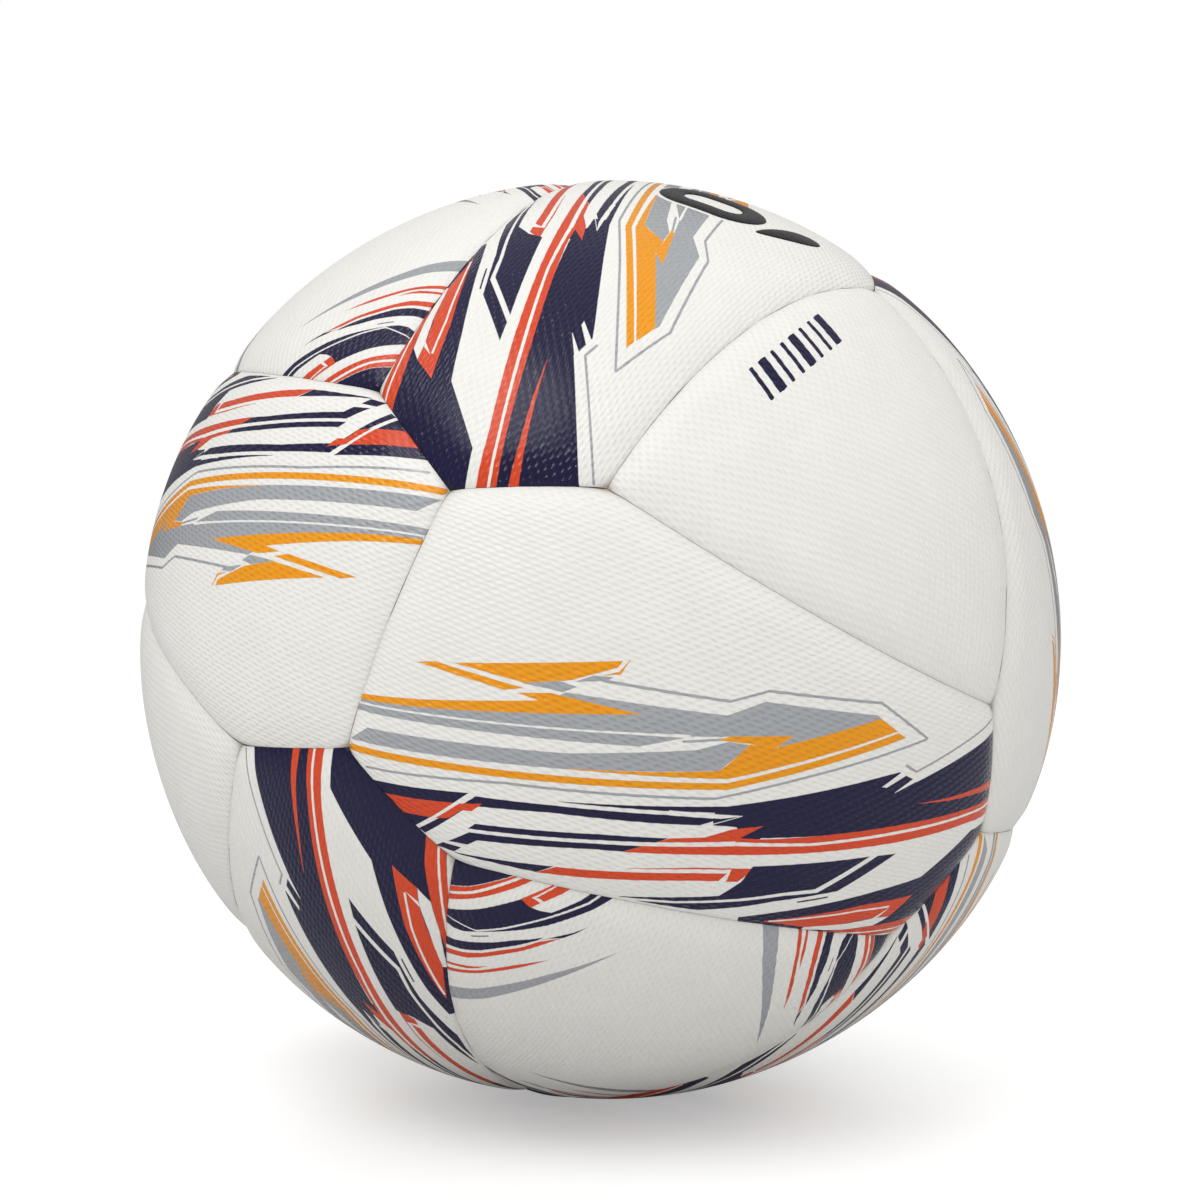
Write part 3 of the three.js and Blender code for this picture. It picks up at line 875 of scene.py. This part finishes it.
TRIANGLE_WEAVE_TURN = radians(-120)
skin_materials = {
    "heptagon": skin_material("heptagon skin", heptagon_print_group, 0.0),
    "plain_triangle": skin_material("plain skin", None, TRIANGLE_WEAVE_TURN),
    "printed_triangle": skin_material("triangle skin", triangle_print_group, TRIANGLE_WEAVE_TURN),
}
SPECIAL_SKINS = {
    "plain_triangle_01": skin_material("ticked skin", tick_print_group, TRIANGLE_WEAVE_TURN),
    f"heptagon_{MARK_PANEL + 1:02d}": skin_material("marked skin", marked_print_group, 0.0),
}
print("skin materials:", ", ".join(skin_materials))


def turned_copies(meshes, pierced):
    """A mesh in place for every panel, with the panel's name and kind."""
    for kind in FAMILIES:
        turns = all_turns if kind == "heptagon" else half_turns
        for number, turn in enumerate(turns, 1):
            panel = f"{kind}_{number:02d}"
            mesh = (pierced if panel == VALVE_PANEL else meshes[kind]).copy()
            mesh.transform((REST_TURN @ turn).to_4x4())
            yield mesh, panel, kind


for mesh, panel, kind in turned_copies(skin_meshes, pierced_skin):
    skin = place(mesh, panel + "_cover", SPECIAL_SKINS.get(panel, skin_materials[kind]))
    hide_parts(panel + "_skin")

# %% [markdown]
# ## The puffed mark
# High on the ball a heptagon carries one raised mark in thick glossy ink. Here it is a plain ring
# and a drop, which mean nothing. The ring starts as a flat section spun round an axis, then its two
# halves are pulled apart into a long ring, and last it is laid on the curved skin.

# %% Raised mark shapes
MARK_STEP, MARK_SAME_POINT = 1.5 * MM, 0.005 * MM
RING_STEPS = 64
DROP_GIRTH, DROP_TAPER = 0.85, 0.35


def pulled_apart(shape, pull):
    """Moves the two halves of a shape apart along Y and cuts the stretch into short steps."""
    for vert in shape.verts:
        vert.co.y += pull if vert.co.y > 0 else -pull
    cuts = round(2 * pull / MARK_STEP)
    for number in range(cuts + 1):
        bmesh.ops.bisect_plane(
            shape, geom=shape.verts[:] + shape.edges[:] + shape.faces[:], dist=CUT_SNAP,
            plane_co=(0, -pull + 2 * pull * number / cuts, 0), plane_no=(0, 1, 0),
        )


def ring_shape():
    shape = bmesh.new()
    section = bmesh.ops.create_circle(
        shape, segments=20, radius=1,
        matrix=Matrix.Translation((MARK_RING, 0, 0))
        @ Matrix.Diagonal((MARK_STROKE, 1, MARK_RISE, 1)) @ Matrix.Rotation(pi / 2, 4, "X"),
    )["verts"]
    half_step = Matrix.Rotation(pi / RING_STEPS, 3, "Z")
    bmesh.ops.rotate(shape, verts=section, cent=(0, 0, 0), matrix=half_step)
    bmesh.ops.spin(
        shape, geom=section + shape.edges[:], cent=(0, 0, 0), axis=(0, 0, 1),
        angle=2 * pi, steps=RING_STEPS, use_merge=True,
    )
    pulled_apart(shape, MARK_PULL)
    return shape


def drop_shape():
    """A flattened bead that narrows towards one end."""
    shape = bmesh.new()
    bmesh.ops.create_uvsphere(
        shape, u_segments=40, v_segments=16, radius=1,
        matrix=Matrix.Diagonal((DROP_LENGTH, DROP_WIDTH, MARK_RISE, 1)),
    )
    for vert in shape.verts:
        vert.co.y *= DROP_GIRTH + DROP_TAPER * vert.co.x / DROP_LENGTH
    turn = Matrix.Rotation(DROP_TURN, 3, "Z")
    bmesh.ops.rotate(shape, verts=shape.verts, cent=(0, 0, 0), matrix=turn)
    return shape


def laid_on_skin(shape, centre, number):
    """Wraps a flat shape on a heptagon at a place of its chart, as high above the skin as drawn."""
    family = FAMILIES["heptagon"]
    turn = REST_TURN @ all_turns[number]
    for vert in shape.verts:
        height = vert.co.z
        flat = Vector((vert.co.x, vert.co.y, 0)) + centre
        direction = family["axes"] @ wrapped(flat, 1)
        inside = seam_distance(direction, family["cuts"])
        vert.co = turn @ direction * (BALL_RADIUS - edge_drop(direction, inside) + height)
    bmesh.ops.remove_doubles(shape, verts=shape.verts, dist=MARK_SAME_POINT)
    bmesh.ops.recalc_face_normals(shape, faces=shape.faces)


print("mark length, mm:", round(2 * (MARK_RING + MARK_PULL + MARK_STROKE) / MM, 1))

# %% [markdown]
# Thick ink dries with a skin of its own: very dark, glossy, and finely wrinkled. A fine noise
# gives the wrinkles, and the same noise makes the hollows a little duller than the crests. It also
# paints the hollows darker and the crests lighter, as painted shade and light.

# %% Puffed ink
WRINKLE_SCALE, WRINKLE_RELIEF = 1100.0, 0.35 * MM
# Painted shade and light: the darker ink goes in the wrinkles' hollows, the lighter ink on their
# crests.
SHADED_HOLLOW_INK, LIT_CREST_INK = (0.002, 0.002, 0.003, 1), (0.012, 0.012, 0.014, 1)
HOLLOW_ROUGHNESS, CREST_SHINES = 0.34, 0.14


def puffed_ink():
    material, tree, surface = new_material(
        "puffed ink", IOR=1.45, Coat_Roughness=0.15, Coat_Weight=0.15,
    )
    spot = add_node(tree, "ShaderNodeTexCoord").outputs["Object"]
    wrinkles = clouds(tree, spot, WRINKLE_SCALE, 3.0)
    # The colour follows the wrinkle height, as painted shade in the hollows and painted light on the
    # crests.
    feed(tree, mixed(tree, wrinkles, SHADED_HOLLOW_INK, LIT_CREST_INK), surface["Base Color"])
    dull = maths(tree, "MULTIPLY_ADD", wrinkles, -CREST_SHINES, HOLLOW_ROUGHNESS)
    feed(tree, dull, surface["Roughness"])
    raise_surface(tree, wrinkles, WRINKLE_RELIEF, surface)
    return material


mark_ink = puffed_ink()
for name, shape, centre in (
    ("raised_ring_mark", ring_shape(), MARK_CENTRE),
    ("raised_drop_mark", drop_shape(), DROP_CENTRE),
):
    laid_on_skin(shape, centre, MARK_PANEL)
    place(mesh_from(shape, name), name, mark_ink)

# %% [markdown]
# ## Foam pads
# Under each skin lies a pad of closed-cell foam, cut a little short of the seam and squeezed thin
# along it, which is what makes the panel look puffed. The pad is shaped like the skin, with a
# coarser grid, and its inner face is set back on the round wall that it is glued to.

# %% Speckle, a finish shared by foam and rubber
SPECKLE_TONE_SCALE, CELL_CONTRAST = 60.0, 1.4
ROUGHNESS_RANGE = 0.2


def speckle():
    """Small cells with soft edges, as heights from 0 to 1."""
    tree, given, result = new_group(
        "speckle", [("Where", "Vector", (0, 0, 0)), ("Cells per mm", "Float", 1.0)],
        [("Height", "Float"), ("Tone", "Float"), ("Blend", "Float")],
    )
    scale = maths(tree, "MULTIPLY", given["Cells per mm"], 1 / MM)
    cells = add_node(
        tree, "ShaderNodeTexVoronoi", {"Vector": given["Where"], "Scale": scale}, feature="F1",
    ).outputs["Distance"]
    height = maths(tree, "MULTIPLY", cells, CELL_CONTRAST, clamp=True)
    tone = clouds(tree, given["Where"], SPECKLE_TONE_SCALE, 4.0)
    feed(tree, height, result["Height"])
    feed(tree, tone, result["Tone"])
    # The colour blend is random tone times height, so each cell's low middle is darker: partly
    # random tone, partly painted shade in the hollows.
    feed(tree, maths(tree, "MULTIPLY", tone, height), result["Blend"])
    return tree


speckle_group = speckle()


def two_toned(name, group, dark, light, relief, roughness, **settings):
    """Two near tones mixed and raised as its group says; the mix puts painted shade in low relief.
    """
    material, tree, surface = new_material(name)
    spot = add_node(tree, "ShaderNodeTexCoord").outputs["Object"]
    grain = place_group(tree, group, Where=spot, **settings)
    feed(tree, mixed(tree, grain["Blend"], (*dark, 1), (*light, 1)), surface["Base Color"])
    lowest = roughness - ROUGHNESS_RANGE / 2
    uneven = maths(tree, "MULTIPLY_ADD", grain["Tone"], ROUGHNESS_RANGE, lowest)
    feed(tree, uneven, surface["Roughness"])
    raise_surface(tree, grain["Height"], relief, surface)
    return material


foam_finish = two_toned(
    "closed-cell foam", speckle_group, (0.62, 0.56, 0.44), (0.80, 0.75, 0.62),
    0.10 * MM, 0.85, Cells_per_mm=1.6,
)
print("shared group:", speckle_group.name)

# %% Pads
FOAM_TOP, FOAM_BOTTOM = BALL_RADIUS - 1.3 * MM, BALL_RADIUS - 4.3 * MM
FOAM_GAP_HALF = 1.0 * MM
FOAM_STEP, FLATTENED_BELOW = 3.0 * MM, 1.0 * MM
FOAM_ROWS = [1.6, 2.6, 4.2, 6.6]


def foam_mesh(family, name, hole=False):
    pad = panel_shape(
        family, FOAM_GAP_HALF, FOAM_ROWS, FOAM_TOP, FOAM_TOP - FOAM_BOTTOM, FOAM_STEP, hole,
    )
    for vert in pad.verts:
        if vert.co.length < FOAM_BOTTOM + FLATTENED_BELOW:
            vert.co = vert.co.normalized() * FOAM_BOTTOM
    return mesh_from(pad, name)


pad_meshes = {kind: foam_mesh(family, kind + "_pad_shape") for kind, family in FAMILIES.items()}
pierced_pad = foam_mesh(FAMILIES["plain_triangle"], "pierced_pad_shape", hole=True)
for mesh, panel, kind in turned_copies(pad_meshes, pierced_pad):
    pad = place(mesh, panel + "_pad", foam_finish)
    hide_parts(panel + "_foam")
print("pad faces:", {kind: len(mesh.polygons) for kind, mesh in pad_meshes.items()})

# %% [markdown]
# ## The valve
# A pump needle goes in through a moulded rubber housing with a softer core in it. Only the end of
# its stem shows, down in the hole, but the whole housing is modelled: stem, flange under the
# bladder, and sleeve. Both parts are round, so each is half an outline spun about the axis, and a
# small bevel softens the edges as a mould does.

# %% Valve outlines
BORE_RADIUS, POCKET_RADIUS, FLANGE_RADIUS = 1.9 * MM, 2.9 * MM, 14 * MM
VALVE_FACE, FLANGE_TOP, FLANGE_BOTTOM = 108.637 * MM, 100.425 * MM, 99.225 * MM
POCKET_TOP, POCKET_BOTTOM, SLEEVE_END = 95.325 * MM, 88.325 * MM, 83.225 * MM
CORE_FACE = VALVE_FACE - 0.4 * MM
CORE_FIT = 0.05 * MM
MOUTH_RADIUS, MOUTH_DEPTH, SLIT_RADIUS = 1.2 * MM, 0.8 * MM, 0.25 * MM

HOUSING_OUTLINE = [
    (BORE_RADIUS, SLEEVE_END), (STEM_RADIUS, SLEEVE_END), (STEM_RADIUS, FLANGE_BOTTOM),
    (FLANGE_RADIUS, FLANGE_BOTTOM), (FLANGE_RADIUS, FLANGE_TOP), (STEM_RADIUS, FLANGE_TOP),
    (STEM_RADIUS, VALVE_FACE), (BORE_RADIUS, VALVE_FACE), (BORE_RADIUS, POCKET_TOP),
    (POCKET_RADIUS, POCKET_TOP), (POCKET_RADIUS, POCKET_BOTTOM), (BORE_RADIUS, POCKET_BOTTOM),
]
CORE_OUTLINE = [
    (SLIT_RADIUS, SLEEVE_END), (BORE_RADIUS - CORE_FIT, SLEEVE_END),
    (BORE_RADIUS - CORE_FIT, POCKET_BOTTOM + CORE_FIT),
    (POCKET_RADIUS - CORE_FIT, POCKET_BOTTOM + CORE_FIT),
    (POCKET_RADIUS - CORE_FIT, POCKET_TOP - CORE_FIT),
    (BORE_RADIUS - CORE_FIT, POCKET_TOP - CORE_FIT),
    (BORE_RADIUS - CORE_FIT, CORE_FACE), (MOUTH_RADIUS, CORE_FACE),
    (SLIT_RADIUS, CORE_FACE - MOUTH_DEPTH),
]
valve_axis = REST_TURN @ half_turns[2] @ plain_centre
valve_turn = Vector((0, 0, 1)).rotation_difference(valve_axis).to_matrix()
print("valve axis:", [round(part, 3) for part in valve_axis])

# %% Spin and place the valve
SPIN_STEPS, SPIN_SAME_POINT, BEVELLED_ANGLE = 64, 0.001 * MM, radians(30)
HOUSING_ROUNDING, CORE_ROUNDING = 0.18 * MM, 0.04 * MM


def spun(outline, name, rounding):
    """A solid of revolution about Z with rounded edges, turned to the valve's axis."""
    shape = bmesh.new()
    corners = [shape.verts.new((radius, 0, level)) for radius, level in outline]
    for start, end in zip(corners, corners[1:] + corners[:1]):
        shape.edges.new((start, end))
    bmesh.ops.spin(
        shape, geom=shape.verts[:] + shape.edges[:], cent=(0, 0, 0), axis=(0, 0, 1),
        angle=2 * pi, steps=SPIN_STEPS, use_merge=True,
    )
    bmesh.ops.remove_doubles(shape, verts=shape.verts, dist=SPIN_SAME_POINT)
    bmesh.ops.recalc_face_normals(shape, faces=shape.faces)
    bmesh.ops.bevel(
        shape, geom=[side for side in shape.edges if side.calc_face_angle(0) > BEVELLED_ANGLE],
        offset=rounding, affect="EDGES", segments=3, profile=0.5, material=-1,
    )
    bmesh.ops.rotate(shape, verts=shape.verts, cent=(0, 0, 0), matrix=valve_turn)
    return mesh_from(shape, name)


valve_rubber = two_toned(
    "moulded rubber", speckle_group, (0.010, 0.010, 0.011), (0.026, 0.026, 0.028),
    0.03 * MM, 0.55, Cells_per_mm=3.0,
)
core_silicone = two_toned(
    "pale silicone", speckle_group, (0.50, 0.49, 0.45), (0.66, 0.65, 0.60),
    0.02 * MM, 0.42, Cells_per_mm=2.0,
)
housing = spun(HOUSING_OUTLINE, "valve_stem_and_flange", HOUSING_ROUNDING)
housing = place(housing, "valve_stem_and_flange", valve_rubber)
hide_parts("valve_housing")
core = spun(CORE_OUTLINE, "valve_soft_core", CORE_ROUNDING)
core = place(core, "valve_soft_core", core_silicone)
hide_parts("valve_core")
print("valve faces:", len(housing.data.polygons), len(core.data.polygons))

# %% [markdown]
# ## The wall inside
# The tape net, the carcass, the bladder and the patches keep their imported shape, because nothing
# about it is soft or puffed. They only need finishes. The carcass is wound with thread in many
# directions, so its height is the highest of several sets of fine rings, each about its own axis;
# the tape is a much finer cloth of the same kind. The rubber parts take the speckle.

# %% Wound threads group
WINDING_AXES = [(0.0, 0.0, 1.0), (0.94, 0.0, 0.34), (-0.47, 0.81, 0.34), (-0.47, -0.81, 0.34)]
THREAD_TONE_SCALE = 90.0


def wound_threads():
    tree, given, result = new_group(
        "wound threads", [("Where", "Vector", (0, 0, 0)), ("Threads", "Float", 600.0)],
        [("Height", "Float"), ("Tone", "Float"), ("Blend", "Float")],
    )
    outward = vector_maths(tree, "NORMALIZE", given["Where"])
    height = 0.0
    for axis in WINDING_AXES:
        along = vector_maths(tree, "DOT_PRODUCT", outward, axis, output="Value")
        steps = maths(tree, "MULTIPLY", maths(tree, "ARCCOSINE", along), given["Threads"])
        height = maths(tree, "MAXIMUM", height, maths(tree, "SINE", steps))
    tone = clouds(tree, given["Where"], THREAD_TONE_SCALE, 5.0)
    # The colour blend is half random tone and half height, so the thread crests are lighter and the
    # gaps darker: partly painted shade.
    halved = maths(tree, "MULTIPLY", height, 0.5)
    feed(tree, height, result["Height"])
    feed(tree, tone, result["Tone"])
    feed(tree, maths(tree, "MULTIPLY_ADD", tone, 0.5, halved), result["Blend"])
    return tree


thread_group = wound_threads()
print("winding directions:", len(WINDING_AXES))

# %% Finishes for the inner parts
tape_finish = two_toned(
    "bonded tape", thread_group, (0.012, 0.013, 0.017), (0.04, 0.042, 0.052),
    0.05 * MM, 0.6, Threads=1400.0,
)
butyl = two_toned(
    "butyl rubber", speckle_group, (0.006, 0.006, 0.007), (0.02, 0.02, 0.022),
    0.03 * MM, 0.5, Cells_per_mm=2.0,
)
patch_rubber = two_toned(
    "patch rubber", speckle_group, (0.012, 0.011, 0.011), (0.035, 0.033, 0.032),
    0.06 * MM, 0.65, Cells_per_mm=1.0,
)
carcass_cloth = two_toned(
    "wound carcass", thread_group, (0.28, 0.26, 0.20), (0.62, 0.59, 0.50),
    0.20 * MM, 0.85, Threads=640.0,
)
INNER_FINISHES = {
    "seam_tape_net": tape_finish, "valve_patch": tape_finish, "carcass": carcass_cloth,
    "bladder": butyl, "balance_patch": patch_rubber,
}
for node, finish in INNER_FINISHES.items():
    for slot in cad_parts[node].material_slots:
        slot.material = finish
print("inner parts finished:", ", ".join(INNER_FINISHES))

# %% [markdown]
# ## Light, floor and camera
# A ball is judged by its soft shading, so the studio is a white room. Its sky is brightest above
# and behind, and one softbox stands high in front on the left, for the sheen on the ink. The floor
# glows a little for the camera, so that it stays white beyond the shadow. The camera stands level
# with the middle of the ball, which takes a set share of the picture's width.

# %% Floor
FLOOR_SIDE = 30.0
FLOOR_SHADE, FLOOR_GLOW, FLOOR_GLOSS = 0.70, 0.38, 0.45


def make_floor():
    shape = bmesh.new()
    bmesh.ops.create_grid(
        shape, x_segments=1, y_segments=1, size=FLOOR_SIDE / 2,
        matrix=Matrix.Translation((0, 0, cad_box[0].z)),
    )
    mesh = mesh_from(shape, "floor")
    material, tree, surface = new_material(
        "pale floor", Roughness=0.9, Emission_Color=(1, 1, 1, 1), Specular_IOR_Level=0.0,
    )
    path = add_node(tree, "ShaderNodeLightPath").outputs
    glow = maths(tree, "MULTIPLY", path["Is Camera Ray"], FLOOR_GLOW)
    feed(tree, glow, surface["Emission Strength"])
    shades = [(*[shade] * 3, 1) for shade in (FLOOR_SHADE, FLOOR_SHADE * FLOOR_GLOSS)]
    feed(tree, mixed(tree, path["Is Glossy Ray"], *shades), surface["Base Color"])
    mesh.materials.append(material)
    add_object("floor", mesh)


make_floor()

# %% Lights
SOFTBOX_SIZE, SOFTBOX_WATTS, SOFTBOX_PLACE = 0.70, 5.7, Vector((-0.46, -0.81, 1.05))
SEEN_SKY = (1, 1, 1, 1)
SKY_LEVEL, SKY_GLOSS = 0.62, 0.25
SKY_SLOPE = (0.13, 0.13, 0.80)


def white_room():
    """A sky that looks white behind the ball, but lights it most from above and behind."""
    world = bpy.data.worlds.new("white room")
    world.use_nodes = True
    tree = world.node_tree
    path = add_node(tree, "ShaderNodeLightPath").outputs
    towards = add_node(tree, "ShaderNodeTexCoord").outputs["Generated"]
    slope = vector_maths(tree, "DOT_PRODUCT", towards, SKY_SLOPE, output="Value")
    level = maths(tree, "ADD", slope, SKY_LEVEL)
    gloss = maths(tree, "MULTIPLY_ADD", path["Is Glossy Ray"], SKY_GLOSS - 1, 1.0)
    lighting = maths(tree, "MULTIPLY", level, gloss)
    sky = tree.nodes["Background"].inputs
    feed(tree, mixed(tree, path["Is Camera Ray"], lighting, SEEN_SKY), sky["Color"])
    bpy.context.scene.world = world


def softbox():
    """A round soft lamp that looks at the middle of the ball."""
    lamp = bpy.data.lights.new("softbox", "AREA")
    lamp.shape, lamp.size, lamp.energy = "DISK", SOFTBOX_SIZE, SOFTBOX_WATTS
    light = add_object("softbox", lamp)
    light.location = SOFTBOX_PLACE
    light.rotation_euler = (-SOFTBOX_PLACE).to_track_quat("-Z", "Y").to_euler()
    light.visible_camera = False


white_room()
softbox()
bpy.context.scene.view_settings.view_transform = "Standard"

# %% Camera
CAMERA_DISTANCE = 3.6 * BALL_RADIUS
BALL_SHARE = 0.76833
CENTRE_DROP = 0.03333
outline_slope = 1 / sqrt((CAMERA_DISTANCE / BALL_RADIUS) ** 2 - 1)

camera_data = bpy.data.cameras.new("camera")
camera_data.sensor_width = 36
camera_data.lens = BALL_SHARE * camera_data.sensor_width / 2 / outline_slope
camera_data.shift_y = CENTRE_DROP
camera_data.clip_start = 0.01
camera = add_object("camera", camera_data)
camera.location = (0, -CAMERA_DISTANCE, 0)
camera.rotation_euler = (pi / 2, 0, 0)
bpy.context.scene.camera = camera
print("lens, mm:", round(camera_data.lens, 1))
